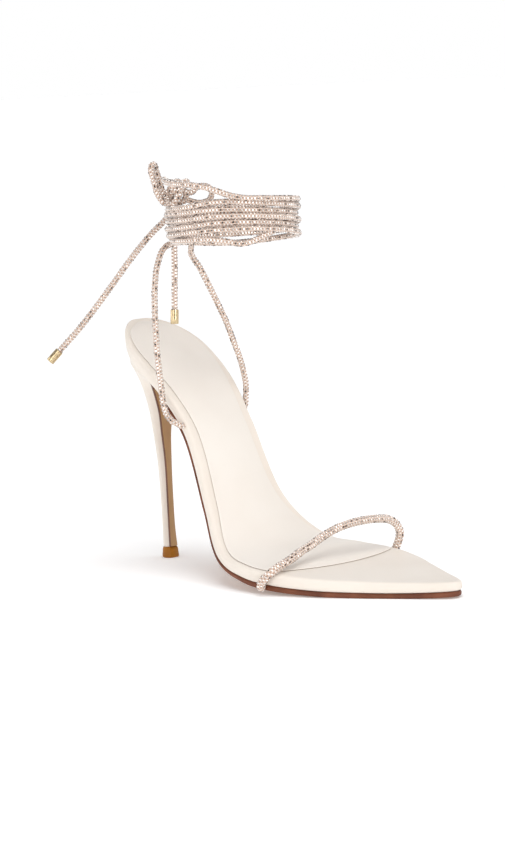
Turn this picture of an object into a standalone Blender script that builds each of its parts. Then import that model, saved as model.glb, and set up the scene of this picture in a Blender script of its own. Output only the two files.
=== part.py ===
"""A pointed stiletto sandal for the right foot, with a cord over the toes and cord ties wound at the ankle.

Shapes are worked out in millimetres in the last's own frame: x from the back of the heel to the toe,
y to the wearer's left (the medial side), z up from the floor. An empty moves them to the part's frame,
whose origin is under the middle of the sandal, and every mesh is stored in metres.
"""

import math

import bmesh
import bpy
import numpy as np

MM = 0.001
GAP = 0.3

# Driving sizes of the last
LENGTH = 203.0
TOE_SWING = 12.3
SWING_START = 0.2
MIDDLE = (101.82, 5.05)

# Layers of the sole, as depths under the top of the sock
SOCK = 1.5
SOCK_BACK = 3.4
SOCK_FRONT = 137.6
SOCK_FRONT_CURVE = 0.005
SOCK_BACK_ROUND = 8.0
BOARD_RIM = 4.8
SEAT_DISH = 1.4
SEAT_END = 78.0
OUTSOLE_START = 39.5
OUTSOLE_TUCK = 2.5
OUTSOLE_TUCK_END = 50.0
OUTSOLE_INSET = 0.8

# Heel tip and breast
LIFT_HEIGHT = 5.3
BREAST_COVER = 1.0

# Cords
STRAP_DIAMETER = 4.0
TIE_DIAMETER = 2.9
WRAP_RADIUS = 30.4
WRAP_CENTRE = (66.4, 6.5)
WRAP_MIDDLE = 165.95
WRAP_PITCH = 3.3
WRAP_PINCH = 0.3
WRAP_PINCH_DEG = 341.0
WRAP_TURNS = 5.7
WRAP_TILT = (0.083, -0.075)
WRAP_START_DEG = 210.0
POINTS_PER_TURN = 24
KNOT_CENTRE = (31.6, 3.3, 179.2)
KNOT_SIZE = 2.3
KNOT_DEPTH = 2.9
FERRULE_LENGTH = 6.9
FERRULE_DIAMETER = 4.0


def table(columns, rows):
    """A short table as one array for each named column."""
    return dict(zip(columns, np.array(rows, float).T))


# The top of the sock and the sole's half widths either side of its centre line, heel to toe
LAST = table(
    ("x", "top", "lateral", "medial"),
    [
        (0, 119.5, 0, 0),
        (3, 117.8, 9.3, 10.2),
        (10, 113.8, 16.6, 18.0),
        (20, 107.6, 21.6, 22.9),
        (32, 99.4, 23.0, 24.0),
        (46, 87.6, 22.2, 23.0),
        (61, 67.8, 21.0, 20.6),
        (79, 35.2, 27.0, 20.8),
        (97, 17.5, 37.6, 28.6),
        (114, 13.4, 42.0, 37.0),
        (131, 11.7, 41.4, 40.0),
        (149, 10.1, 35.3, 35.6),
        (166, 9.3, 26.2, 26.6),
        (182, 8.9, 16.4, 17.4),
        (195, 9.0, 8.4, 9.4),
        (201, 9.2, 3.9, 4.5),
        (203, 9.3, 0, 0),
    ],
)

# Where the sole is sectioned, closest where it turns most; its layers share these, so that they nest
STATIONS = np.array(
    [0, 0.6, 2, 4.5, 8, 12, 17, 23, 30, 37, 43, 48, 53, 57, 61, 65, 69, 73, 77, 81, 85, 90, 96, 103]
    + [111, 119, 127, 135, 143, 151, 159, 167, 175, 182, 188, 193, 197, 200, 202, LENGTH]
)

# Undersides of the wrapped board and of the outsole
DEPTHS = table(
    ("x", "board", "sole"),
    [
        (0, 7.5, 9.1),
        (30, 7.1, 8.7),
        (57, 5.7, 7.5),
        (91, 5.8, 7.6),
        (126, 7.2, 9.9),
        (150, 7.0, 9.7),
        (182, 6.4, 9.1),
        (203, 5.7, 8.4),
    ],
)

# How far the sock lies in from the sole's outline
SOCK_INSETS = table(
    ("x", "inset"),
    [(0, 3.2), (20, 3.4), (35, 4.0), (48, 5.0), (61, 5.4), (80, 5.0), (105, 3.6), (125, 3.0), (140, 3.0)],
)

# Edge profiles, top to bottom: how far in from the outline, and how far down through the layer
BOARD_EDGE = table(
    ("inset", "down"),
    [(BOARD_RIM, 0), (1.2, 0.045), (0.3, 0.18), (0, 0.55), (0.4, 0.91), (1.2, 1)],
)
SOCK_EDGE = table(("inset", "down"), [(1.2, 0), (0.2, 0.25), (0, 0.6), (0.1, 1)])
OUTSOLE_EDGE = table(
    ("inset", "down"),
    [(OUTSOLE_INSET, 0), (OUTSOLE_INSET, 0.8), (OUTSOLE_INSET + 0.4, 1)],
)

# Sections of the heel: height at its back, slope towards the toe, then plan sizes
HEEL = table(
    ("z", "lean", "back", "breast", "width", "face"),
    [
        (5.6, 0, 14.9, 19.8, 6.6, 4.2),
        (12, 0, 14.6, 19.3, 6.0, 3.6),
        (28, 0, 14.2, 18.8, 6.0, 3.2),
        (48, 0, 12.9, 18.5, 6.8, 3.6),
        (62, 0, 11.3, 18.0, 8.8, 5.6),
        (72, -0.02, 9.8, 18.2, 11.0, 8.0),
        (80, -0.10, 8.2, 17.4, 13.6, 10.4),
        (87, -0.24, 6.6, 18.2, 17.5, 15.0),
        (94, -0.42, 5.0, 20.5, 23.5, 21.0),
        (100.5, -0.57, 4.1, 25.0, 31.0, 29.0),
    ],
)
HEEL_SEAT = {"back": 3.8, "breast": 32.0, "width": 40.5, "face": 40.0}
LIFT = table(
    ("z", "lean", "back", "breast", "width", "face"),
    [
        (0, 0, 14.2, 20.8, 7.2, 4.6),
        (0.5, 0, 13.8, 21.2, 7.8, 5.0),
        (LIFT_HEIGHT, 0, 14.3, 20.7, 7.2, 4.8),
    ],
)

# Routes of the cords, chosen by hand; each ends just clear of what holds it
TOE_STRAP_ROUTE = [
    (127.4, -38.4, 4.2),
    (129.0, -38.8, 6.6),
    (131.2, -38.2, 9.0),
    (132.8, -36.6, 11.2),
    (133.2, -33.8, 12.5),
    (133.0, -30.3, 13.5),
    (131.9, -22.9, 15.2),
    (130.3, -15.3, 17.4),
    (128.9, -7.3, 19.2),
    (128.1, -0.9, 21.3),
    (128.0, 11.5, 24.6),
    (128.4, 24.0, 25.7),
    (128.6, 36.0, 25.1),
    (128.2, 42.4, 23.9),
    (128.7, 47.0, 20.9),
    (129.0, 49.0, 16.8),
    (128.4, 48.8, 13.4),
    (127.0, 48.1, 9.6),
    (126.0, 47.8, 5.2),
]
LATERAL_RISER = [
    (55.9, -21.7, 70.4),
    (55.2, -23.0, 71.2),
    (54.0, -24.5, 72.3),
    (52.5, -25.6, 74.2),
    (51.0, -26.2, 77.0),
    (49.8, -26.5, 81.4),
    (48.6, -26.5, 88.0),
    (47.2, -26.4, 97.0),
    (45.8, -26.0, 106.0),
    (44.6, -25.2, 116.0),
    (43.2, -24.0, 126.0),
    (41.9, -22.3, 136.0),
    (41.0, -19.6, 145.0),
    (40.7, -16.0, 151.8),
]
MEDIAL_RISER = [
    (49.9, 24.3, 74.2),
    (49.9, 24.8, 78.0),
    (50.0, 25.2, 84.0),
    (49.6, 24.5, 90.0),
    (48.3, 23.6, 97.0),
    (46.3, 21.0, 107.0),
    (45.2, 18.2, 115.7),
    (44.0, 15.0, 123.4),
    (42.4, 11.4, 132.2),
    (39.7, 7.9, 141.8),
    (36.9, 4.9, 149.4),
]
# The medial cord's one loose turn: angle round the ankle, inset from the other turns, height
LOOSE_TURN = table(
    ("angle", "inset", "z"),
    [
        (186, 0.6, 153.6),
        (206, 1.9, 154.8),
        (228, 1.9, 155.6),
        (255, 0.6, 156.4),
        (285, 0.0, 156.7),
        (312, 0.0, 156.6),
        (330, 0.0, 157.2),
        (346, 0.0, 159.4),
        (360, 0.0, 161.6),
    ],
)
# The lateral cord's last stretch, from its top turn up to the knot: angle, outset, height
TOP_LEAD = table(
    ("angle", "outset", "z"),
    [
        (318, 0.0, 178.6),
        (308, 0.2, 180.6),
        (298, 0.4, 182.4),
        (281, 0.6, 183.8),
        (262, 0.8, 184.2),
        (240, 0.6, 184.8),
        (222, 1.0, 185.4),
        (208, 3.0, 185.0),
        (201, 4.6, 183.8),
    ],
)
LOOP_UP_ROUTE = [
    (28.5, -3.4, 173.4),
    (27.5, -4.6, 175.2),
    (26.1, -5.6, 178.4),
    (24.5, -6.3, 182.6),
    (23.5, -6.6, 186.9),
    (23.0, -6.4, 190.0),
    (22.7, -4.9, 191.9),
    (22.7, -3.3, 190.0),
    (23.8, -2.8, 186.7),
    (24.9, -2.3, 183.3),
    (25.9, -1.8, 179.5),
    (26.6, -1.4, 176.9),
]
LOOP_SIDE_ROUTE = [
    (35.2, 8.9, 178.1),
    (36.2, 10.6, 179.9),
    (38.2, 13.0, 180.8),
    (40.2, 15.1, 179.9),
    (41.3, 15.8, 177.3),
    (40.7, 14.8, 174.6),
    (38.7, 12.4, 173.85),
    (36.8, 10.6, 173.75),
    (35.1, 8.8, 173.8),
]
LONG_END_ROUTE = [
    (31.4, 0.2, 171.0),
    (29.5, -0.9, 168.0),
    (26.6, -3.0, 164.2),
    (23.2, -6.8, 159.6),
    (19.4, -11.3, 153.3),
    (15.4, -16.0, 146.0),
    (11.8, -20.3, 138.8),
    (7.5, -25.5, 130.2),
    (3.1, -30.7, 121.8),
    (-0.9, -35.4, 114.6),
    (-7.3, -42.7, 104.5),
]
SHORT_END_ROUTE = [
    (29.9, 4.2, 170.6),
    (28.7, 3.6, 163.0),
    (27.9, 2.7, 155.1),
    (28.0, 1.8, 140.7),
    (28.2, 1.0, 130.0),
    (28.3, 0.5, 122.3),
]

COLOURS = {
    "satin": ((0.87, 0.80, 0.73, 1), 0.42, 0.0),
    "sock_satin": ((0.88, 0.81, 0.74, 1), 0.45, 0.0),
    "outsole_leather": ((0.24, 0.10, 0.06, 1), 0.45, 0.0),
    "breast_leather": ((0.55, 0.36, 0.20, 1), 0.5, 0.0),
    "lift_rubber": ((0.30, 0.15, 0.07, 1), 0.55, 0.0),
    "stone_cord": ((0.80, 0.68, 0.62, 1), 0.35, 0.3),
    "gold": ((0.83, 0.62, 0.28, 1), 0.22, 1.0),
}


def through(xs, ys, x):
    """A smooth cubic through (xs, ys), each knot's slope taken from its two neighbours."""
    slopes = np.gradient(ys, xs)
    i = np.clip(np.searchsorted(xs, x, side="right") - 1, 0, len(xs) - 2)
    h = xs[i + 1] - xs[i]
    t = np.clip((x - xs[i]) / h, 0, 1)
    start = (1 + 2 * t) * (1 - t) ** 2 * ys[i] + t * (1 - t) ** 2 * h * slopes[i]
    end = t**2 * (3 - 2 * t) * ys[i + 1] + t**2 * (t - 1) * h * slopes[i + 1]
    return start + end


def smooth_step(x, low, high):
    t = np.clip((x - low) / (high - low), 0, 1)
    return t * t * (3 - 2 * t)


def centre_line(x):
    """The sole's centre line, swung to the medial side towards the toe."""
    return TOE_SWING * np.clip((x / LENGTH - SWING_START) / (1 - SWING_START), 0, 1) ** 1.3


def half_width(x, side):
    """Half the sole's width; its square is interpolated, so that heel and toe close in round ends."""
    return np.sqrt(np.maximum(through(LAST["x"], LAST[side] ** 2, x), 0))


def top_line(x):
    return through(LAST["x"], LAST["top"], x)


def depth_of(layer, x):
    return through(DEPTHS["x"], DEPTHS[layer], x)


def on_sole(x, y, depth):
    """The point at a depth under the sock's top, square to the profile except at the back of the seat."""
    slope = (top_line(x + 0.5) - top_line(x - 0.5)) * (1.4 * smooth_step(x, 0, 40) - 0.4)
    length = np.hypot(1, slope)
    across = np.minimum(half_width(x, "lateral"), half_width(x, "medial")) + 0.1
    crown = np.clip(1 - ((y - centre_line(x)) / across) ** 2, 0, 1)
    dish = SEAT_DISH * crown * (1 - smooth_step(x, 40, SEAT_END)) * np.clip(1 - depth / 4, 0, 1)
    z = top_line(x) - depth / length - dish
    return np.stack([x + slope / length * depth, y, z], -1)


class Outline:
    """A closed plan outline from stations along the last: lateral side to the toe, medial side back."""

    def __init__(self, stations, lateral, medial, cut_back):
        last = len(stations) - 1
        middle = centre_line(stations)
        back = range(last - 1, -1 if cut_back else 0, -1)
        self.station = np.array(list(range(last + 1)) + list(back))
        side = np.where(np.arange(len(self.station)) <= last, -lateral[self.station], medial[self.station])
        self.x = stations[self.station]
        self.y = middle[self.station] + side
        along = np.stack([np.roll(v, -1) - np.roll(v, 1) for v in (self.x, self.y)])
        along /= np.hypot(*along)
        self.inward = np.stack([-along[1], along[0]])
        self.stations = stations
        self.middle = middle

    def ring(self, inset, depth):
        x = self.x + self.inward[0] * inset
        y = self.y + self.inward[1] * inset
        return on_sole(x, y, depth(x))

    def spine(self, margin, depth):
        low, high = self.stations[0] + margin, self.stations[-1] - margin
        x = np.clip(self.stations, low, high)
        x += np.linspace(-0.01, 0.01, len(x))
        return on_sole(x, self.middle, depth(x))


def layer(outline, top_spine, rings, bottom_spine):
    """A closed solid: rings from the top edge to the bottom edge, each surface filled in to a centre line."""
    count = len(outline.station)
    vertices = np.concatenate([top_spine, *rings, bottom_spine])
    first = len(top_spine)
    under = first + count * len(rings)
    faces = []
    for j in range(count):
        k = (j + 1) % count
        a, b = outline.station[j], outline.station[k]
        rows = [first + r * count for r in range(len(rings))]
        faces.append([a, rows[0] + j, rows[0] + k] + ([b] if b != a else []))
        faces += [[upper + j, lower + j, lower + k, upper + k] for upper, lower in zip(rows, rows[1:])]
        faces.append([rows[-1] + j, under + a] + ([under + b] if b != a else []) + [rows[-1] + k])
    return vertices, faces


def stations_from(start, end, more=()):
    """The shared stations between two places, with those places and any more that are asked for."""
    inside = (STATIONS > start + 0.5) & (STATIONS < end - 0.5)
    return np.unique(np.r_[start, STATIONS[inside], more, end])


def material(name):
    made = bpy.data.materials.get(name)
    if made is None:
        colour, roughness, metallic = COLOURS[name]
        made = bpy.data.materials.new(name)
        made.use_nodes = True
        shader = made.node_tree.nodes["Principled BSDF"]
        shader.inputs["Base Color"].default_value = colour
        shader.inputs["Roughness"].default_value = roughness
        shader.inputs["Metallic"].default_value = metallic
    return made


def add_mesh(name, vertices, faces, finish, sharp_deg=40):
    """A named mesh object from points in millimetres, shaded smooth with its faces turned outwards."""
    mesh = bpy.data.meshes.new(name)
    mesh.from_pydata((np.asarray(vertices) * MM).tolist(), [], faces)
    work = bmesh.new()
    work.from_mesh(mesh)
    bmesh.ops.recalc_face_normals(work, faces=work.faces)
    work.to_mesh(mesh)
    work.free()
    mesh.shade_smooth()
    mesh.set_sharp_from_angle(angle=math.radians(sharp_deg))
    return add_object(name, mesh, finish)


def add_object(name, data, finish):
    obj = bpy.data.objects.new(name, data)
    obj.data.materials.append(material(finish))
    bpy.context.scene.collection.objects.link(obj)
    obj.parent = bpy.data.objects["sandal"]
    return obj


def add_cord(name, points, diameter, finish, closed=False):
    """A round cord: a bevelled poly curve with filled ends."""
    curve = bpy.data.curves.new(name, "CURVE")
    curve.dimensions = "3D"
    curve.bevel_depth = diameter / 2 * MM
    curve.bevel_resolution = 2
    curve.use_fill_caps = not closed
    spline = curve.splines.new("POLY")
    spline.points.add(len(points) - 1)
    flat = np.concatenate([np.asarray(points) * MM, np.ones((len(points), 1))], axis=1)
    spline.points.foreach_set("co", flat.ravel())
    spline.use_cyclic_u = closed
    return add_object(name, curve, finish)


def resample(route, spacing):
    """Evenly spaced points on a smooth curve through a route's own points."""
    route = np.asarray(route, float)
    chord = np.r_[0, np.cumsum(np.linalg.norm(np.diff(route, axis=0), axis=1))]
    fine = np.linspace(0, chord[-1], 600)
    curve = np.stack([through(chord, column, fine) for column in route.T], axis=1)
    run = np.r_[0, np.cumsum(np.linalg.norm(np.diff(curve, axis=0), axis=1))]
    even = np.linspace(0, run[-1], max(3, round(run[-1] / spacing) + 1))
    return np.stack([np.interp(even, run, column) for column in curve.T], axis=1)


def round_ankle(angle_deg, radius, level):
    """Points round the ankle at an angle from the toe's direction, on the wrap's tilted plane."""
    angle = np.radians(angle_deg)
    x, y = radius * np.cos(angle), radius * np.sin(angle)
    z = level + WRAP_TILT[0] * x + WRAP_TILT[1] * y
    return np.stack([WRAP_CENTRE[0] + x, WRAP_CENTRE[1] + y, z], -1)


def at_height(rows, sign, column):
    """A table of angles, radial offsets and true heights round the ankle, as points."""
    points = round_ankle(rows["angle"], WRAP_RADIUS + sign * rows[column], 0 * rows["z"])
    points[:, 2] = rows["z"]
    return points


def lateral_cord():
    """The lateral tie: its riser, a coil whose turns draw together over the instep, a lead to the knot."""
    count = round(WRAP_TURNS * POINTS_PER_TURN)
    turns = np.arange(count) / POINTS_PER_TURN
    angle = WRAP_START_DEG - 360 * turns
    pinch = WRAP_PINCH * np.maximum(np.cos(np.radians(angle - WRAP_PINCH_DEG)), 0) ** 2
    level = WRAP_MIDDLE + (WRAP_PITCH - pinch) * (turns - WRAP_TURNS / 2)
    coil = round_ankle(angle, WRAP_RADIUS, level)
    start = len(LATERAL_RISER)
    joined = np.concatenate([LATERAL_RISER, coil[1:], at_height(TOP_LEAD, 1, "outset")])
    spacing = 2 * math.pi * WRAP_RADIUS / POINTS_PER_TURN
    riser = resample(joined[: start + 3], spacing)
    lead = resample(joined[-len(TOP_LEAD["z"]) - 3 :], spacing)
    return np.concatenate([riser[:-1], coil[3:-3], lead])


def medial_cord():
    """The medial tie: its riser, one loose turn over the instep, and its end where it joins the coil."""
    route = np.concatenate([MEDIAL_RISER, at_height(LOOSE_TURN, -1, "inset")])
    return resample(route, 2 * math.pi * WRAP_RADIUS / POINTS_PER_TURN)


def knot_curve():
    """An overhand knot: a trefoil, its thin side turned to the back of the ankle."""
    t = np.linspace(0, 2 * math.pi, 42, endpoint=False)
    across = KNOT_SIZE * (np.sin(t) + 2 * np.sin(2 * t))
    height = KNOT_SIZE * (np.cos(t) - 2 * np.cos(2 * t))
    depth = KNOT_DEPTH * -np.sin(3 * t)
    return np.asarray(KNOT_CENTRE) + np.stack([depth, across, height], axis=1)


def heel_ring(row):
    """A heel section: half an ellipse at the back, sides that close in, and a flat breast."""
    middle = row["back"] + 0.55 * (row["breast"] - row["back"])
    turn = np.radians(np.linspace(-90, 90, 11))
    back_x = middle - (middle - row["back"]) * np.cos(turn)
    back_y = row["width"] / 2 * np.sin(turn)
    close = np.array([0.4, 0.75, 1.0])
    side_x = middle + (row["breast"] - middle) * close
    side_y = row["face"] / 2 + (row["width"] - row["face"]) / 2 * np.cos(np.radians(90 * close))
    x = np.concatenate([side_x[::-1], back_x, side_x])
    y = np.concatenate([-side_y[::-1], back_y, side_y])
    return x, y


def heel_rows(sizes):
    return [{name: column[i] for name, column in sizes.items()} for i in range(len(sizes["z"]))]


def row_ring(row):
    x, y = heel_ring(row)
    return np.stack([x, y, row["z"] + row["lean"] * (x - row["back"])], axis=1)


def seat_underside(x):
    """Height of the board's underside under its centre line."""
    stations = np.linspace(0, 80, 161)
    under = on_sole(stations, centre_line(stations), depth_of("board", stations))
    return np.interp(x, under[:, 0], under[:, 2])


def stack(rings, close_top):
    """A closed solid from rings, bottom first: a flat bottom, and a top given as inner rings to one point."""
    count = len(rings[0])
    vertices = np.concatenate([*rings, close_top])
    faces = [list(range(count))[::-1]]
    levels = (len(vertices) - 1) // count
    for level in range(levels - 1):
        low, high = level * count, (level + 1) * count
        faces += [[low + j, low + (j + 1) % count, high + (j + 1) % count, high + j] for j in range(count)]
    edge = (levels - 1) * count
    faces += [[edge + j, edge + (j + 1) % count, len(vertices) - 1] for j in range(count)]
    return vertices, faces


def heel_seat_rings():
    """The heel's top: its seat outline and smaller copies of it, all just under the board."""
    x, y = heel_ring(HEEL_SEAT)
    middle = np.array([(HEEL_SEAT["back"] + HEEL_SEAT["breast"]) / 2, 0.0])
    rings = []
    for scale in (1.0, 0.7, 0.35):
        ring_x, ring_y = middle[0] + (x - middle[0]) * scale, y * scale
        rings.append(np.stack([ring_x, ring_y, seat_underside(ring_x) - GAP], axis=1))
    top = np.array([[middle[0], 0, seat_underside(middle[0]) - GAP]])
    return rings, top


def add_layer(name, outline, edge, top, bottom, spine_margin, finish):
    """One layer of the sole, between two depths that are functions of x, with its edge profile."""

    def down(share):
        return lambda x: top(x) + share * (bottom(x) - top(x))

    rings = [outline.ring(inset, down(share)) for inset, share in zip(edge["inset"], edge["down"])]
    vertices, faces = layer(
        outline, outline.spine(spine_margin, top), rings, outline.spine(spine_margin, bottom)
    )
    vertices[:, 2] = np.maximum(vertices[:, 2], 0)
    add_mesh(name, vertices, faces, finish)


def make_sole():
    """The sole's three layers; the floor cuts off what would reach under it."""

    def flat(depth):
        return lambda x: np.full_like(x, depth)

    def under(name, lower=0.0):
        return lambda x: depth_of(name, x) + lower

    sides = [half_width(STATIONS, side) for side in ("lateral", "medial")]
    board = Outline(STATIONS, *sides, cut_back=False)
    add_layer("wrapped_board", board, BOARD_EDGE, flat(SOCK), under("board"), 6, "satin")

    round_ends = np.r_[SOCK_BACK + np.array([0.4, 2.4]), SOCK_FRONT - np.array([9.0, 7.5, 5.5, 2, 0.7])]
    stations = stations_from(SOCK_BACK, SOCK_FRONT, round_ends)
    closing = np.sqrt((SOCK_FRONT - stations) / SOCK_FRONT_CURVE)
    opening = np.sqrt(np.clip((stations - SOCK_BACK) / SOCK_BACK_ROUND, 0, 1))
    inset = through(SOCK_INSETS["x"], SOCK_INSETS["inset"], stations)
    sides = [half_width(stations, side) - inset for side in ("lateral", "medial")]
    sock = Outline(stations, *[np.minimum(side, closing) * opening for side in sides], cut_back=False)
    add_layer("sock", sock, SOCK_EDGE, flat(0.0), flat(SOCK - GAP), 4, "sock_satin")

    stations = stations_from(OUTSOLE_START, LENGTH)
    tuck = OUTSOLE_TUCK * (1 - smooth_step(stations, OUTSOLE_START, OUTSOLE_TUCK_END))
    sides = [half_width(stations, side) - tuck for side in ("lateral", "medial")]
    sole = Outline(stations, *sides, cut_back=True)
    add_layer("outsole", sole, OUTSOLE_EDGE, under("board", GAP), under("sole"), 5, "outsole_leather")


def make_heel():
    rows = heel_rows(HEEL)
    rings = [row_ring(row) for row in rows]
    seat, top = heel_seat_rings()
    add_mesh("heel", *stack(rings + seat, top), "satin")

    lift = [row_ring(row) for row in heel_rows(LIFT)]
    add_mesh("top_lift", *stack(lift, lift[-1].mean(axis=0, keepdims=True)), "lift_rubber")

    # The breast cover lies on the flat breast, offset square to it in the profile
    corners = np.array([ring[-1] for ring in rings + seat[:1]])
    line = corners[:, [0, 2]]
    along = np.gradient(line, axis=0)
    along /= np.linalg.norm(along, axis=1, keepdims=True)
    out = np.stack([along[:, 1], -along[:, 0]], axis=1)
    inner, outer = line + out * GAP, line + out * (GAP + BREAST_COVER)
    half = corners[:, 1] - 0.1
    sections = []
    for i in range(len(line)):
        box = [(inner[i], -half[i]), (inner[i], half[i]), (outer[i], half[i]), (outer[i], -half[i])]
        sections.append([(p[0], y, p[1]) for p, y in box])
    vertices = np.array(sections).reshape(-1, 3)
    faces = [[3, 2, 1, 0], [len(vertices) - 4 + k for k in range(4)]]
    for i in range(len(line) - 1):
        low, high = 4 * i, 4 * i + 4
        faces += [[low + k, low + (k + 1) % 4, high + (k + 1) % 4, high + k] for k in range(4)]
    add_mesh("breast_cover", vertices, faces, "breast_leather", sharp_deg=60)


def make_straps():
    strap = resample(TOE_STRAP_ROUTE, STRAP_DIAMETER)
    add_cord("toe_strap", strap, STRAP_DIAMETER, "stone_cord")

    # The two ties are one solid, joined where they cross behind the ankle and over the instep
    joined = []
    for name, points in (("lateral_tie", lateral_cord()), ("medial_tie", medial_cord())):
        cord = add_cord(name, points, TIE_DIAMETER, "stone_cord")
        bpy.context.view_layer.update()
        mesh = bpy.data.meshes.new_from_object(cord.evaluated_get(bpy.context.evaluated_depsgraph_get()))
        bpy.data.objects.remove(cord)
        work = bmesh.new()
        work.from_mesh(mesh)
        bmesh.ops.remove_doubles(work, verts=work.verts, dist=1e-6)
        bmesh.ops.recalc_face_normals(work, faces=work.faces)
        work.to_mesh(mesh)
        work.free()
        mesh.materials.clear()
        joined.append(mesh)
    tie = add_object("ankle_tie", joined[0], "stone_cord")
    other = add_object("medial_tie_joint", joined[1], "stone_cord")
    other.hide_render = True
    other.display_type = "WIRE"
    union = tie.modifiers.new("joined", "BOOLEAN")
    union.operation = "UNION"
    union.object = other


def make_ties():
    """The knot, its two loops and the two free ends with their metal tips."""
    add_cord("tie_knot", knot_curve(), TIE_DIAMETER, "stone_cord", closed=True)
    spacing = 2 * TIE_DIAMETER
    add_cord("tie_loop_up", resample(LOOP_UP_ROUTE, spacing / 2), TIE_DIAMETER, "stone_cord")
    add_cord("tie_loop_side", resample(LOOP_SIDE_ROUTE, spacing / 2), TIE_DIAMETER, "stone_cord")
    for side, route in (("long", LONG_END_ROUTE), ("short", SHORT_END_ROUTE)):
        points = resample(route, spacing)
        add_cord(f"tie_end_{side}", points, TIE_DIAMETER, "stone_cord")
        along = points[-1] - points[-2]
        along /= np.linalg.norm(along)
        start = points[-1] + along * GAP
        add_ferrule(f"ferrule_{side}", start, along)


def add_ferrule(name, start, along):
    """A metal tip: a short straight tube with eased edges."""
    radius = FERRULE_DIAMETER / 2
    profile = table(
        ("run", "radius"),
        [
            (0, radius * 0.86),
            (0.25, radius),
            (FERRULE_LENGTH - 0.3, radius),
            (FERRULE_LENGTH, radius * 0.8),
        ],
    )
    turn = np.linspace(0, 2 * math.pi, 16, endpoint=False)
    side = np.cross(along, (0, 1, 0))
    side /= np.linalg.norm(side)
    other = np.cross(along, side)
    circle = np.cos(turn)[:, None] * side + np.sin(turn)[:, None] * other
    rings = [start + along * run + circle * r for run, r in zip(profile["run"], profile["radius"])]
    add_mesh(name, *stack(rings, (start + along * FERRULE_LENGTH)[None]), "gold")


def main():
    for obj in list(bpy.data.objects):
        bpy.data.objects.remove(obj)
    sandal = bpy.data.objects.new("sandal", None)
    bpy.context.scene.collection.objects.link(sandal)
    sandal.location = (-MIDDLE[0] * MM, -MIDDLE[1] * MM, 0)
    make_sole()
    make_heel()
    make_straps()
    make_ties()


main()
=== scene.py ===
import math

import bmesh
import bpy
import numpy as np
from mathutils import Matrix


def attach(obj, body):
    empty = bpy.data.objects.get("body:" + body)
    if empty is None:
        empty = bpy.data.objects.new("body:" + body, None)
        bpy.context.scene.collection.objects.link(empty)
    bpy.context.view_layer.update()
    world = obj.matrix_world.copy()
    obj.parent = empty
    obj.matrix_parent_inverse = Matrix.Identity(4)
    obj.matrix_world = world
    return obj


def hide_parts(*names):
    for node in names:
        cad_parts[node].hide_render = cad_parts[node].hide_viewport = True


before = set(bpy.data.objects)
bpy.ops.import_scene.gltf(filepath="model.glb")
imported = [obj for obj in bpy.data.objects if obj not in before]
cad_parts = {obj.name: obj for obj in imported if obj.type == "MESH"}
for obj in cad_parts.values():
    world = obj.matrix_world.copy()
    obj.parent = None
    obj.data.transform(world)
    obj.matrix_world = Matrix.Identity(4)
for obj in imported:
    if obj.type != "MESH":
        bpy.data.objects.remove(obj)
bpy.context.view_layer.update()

# The looks of a pointed stiletto sandal: satin over the board and heel, leather under it, and net cords set
# with stones. Shapes are worked out in millimetres in the last's own frame: x from the back of the heel to
# the toe, y to the wearer's left, z up from the floor. in_frame takes them to metres in the part's frame.
MM = 0.001
PART_ORIGIN = np.array([101.82, 5.05, 0.0])
BODY = "root"

# Gap or overlap where two pieces meet, and how near two points of a mesh are merged, in metres
SEAM = 0.1
MERGE = 2e-6

# The last, with a dish in its seat; depth is square to the profile, but leans the other way at the very back
LENGTH = 203.0
TOE_SWING = 12.3
SWING_START = 0.2
SWING_POWER = 1.3
SEAT_DISH = 1.4
DISH_START = 40.0
DISH_END = 78.0
DISH_DEPTH = 4.0
BACK_SLOPE = -0.4
BACK_END = 40.0
SLOPE_REACH = 0.5
SPARE_WIDTH = 0.1

# The sock: depths under the top line, then its plan
SOCK = 1.5
SOCK_DROP = 0.8
SOCK_CROWN = 1.1
SOCK_BACK = 3.4
SOCK_FRONT = 137.6
SOCK_FRONT_CURVE = 0.005
SOCK_BACK_ROUND = 9.5
SOCK_CORNER = 14.0
SOCK_LEAST = 0.01

# The outsole's start under the heel, where it is tucked in
OUTSOLE_START = 39.5
OUTSOLE_TUCK = 2.5
OUTSOLE_TUCK_END = 50.0

# Points along each side of a layer, rows of its grid on the top and over the edge, and where a pull starts
BOARD_POINTS = 260
SOCK_POINTS = 220
OUTSOLE_POINTS = 220
TOP_ROWS = 22
TOP_ROW_POWER = 0.8
EDGE_ROWS = 18
PULL_START = 0.15
# First row of the sock's grid that is painted dark brown: partly its cut edge, partly painted shade in the
# crevice under its edge
SOCK_EDGE_SHADE_ROW = TOP_ROWS + 10

# The heel: its sections, its foot, the flare under the seat, and the collar of satin on the board's side
HEEL_BACK_SHARE = 0.55
HEEL_BACK_POINTS = 61
HEEL_SIDE_POINTS = 13
HEEL_RINGS = 110
HEEL_REACH = 80.0
FOOT_DRAW = 0.07
FOOT_DROP = 0.25
FLARE_RINGS = 15
FLARE_POWER = 1.7
COLLAR_MIDDLE = 17.0
COLLAR_REACH = 60.0
COLLAR_INSET = 0.25
COLLAR_DOWN = 0.66
COLLAR_FADE_DEG = (75, 125)
BREAST_COVER = 1.3
BREAST_OVERHANG = 0.05

# Cords: the net tube, its stone rows, and its points round and along
TIE_RADIUS = 1.34
TIE_ROWS = 6
TIE_SIDES = 12
TIE_SPACING = 1.5
STRAP_RADIUS = 1.83
STRAP_ROWS = 8
STRAP_SIDES = 18
STRAP_SPACING = 0.9
BOW_SIDES = 14
BOW_SPACING = 0.8
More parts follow.
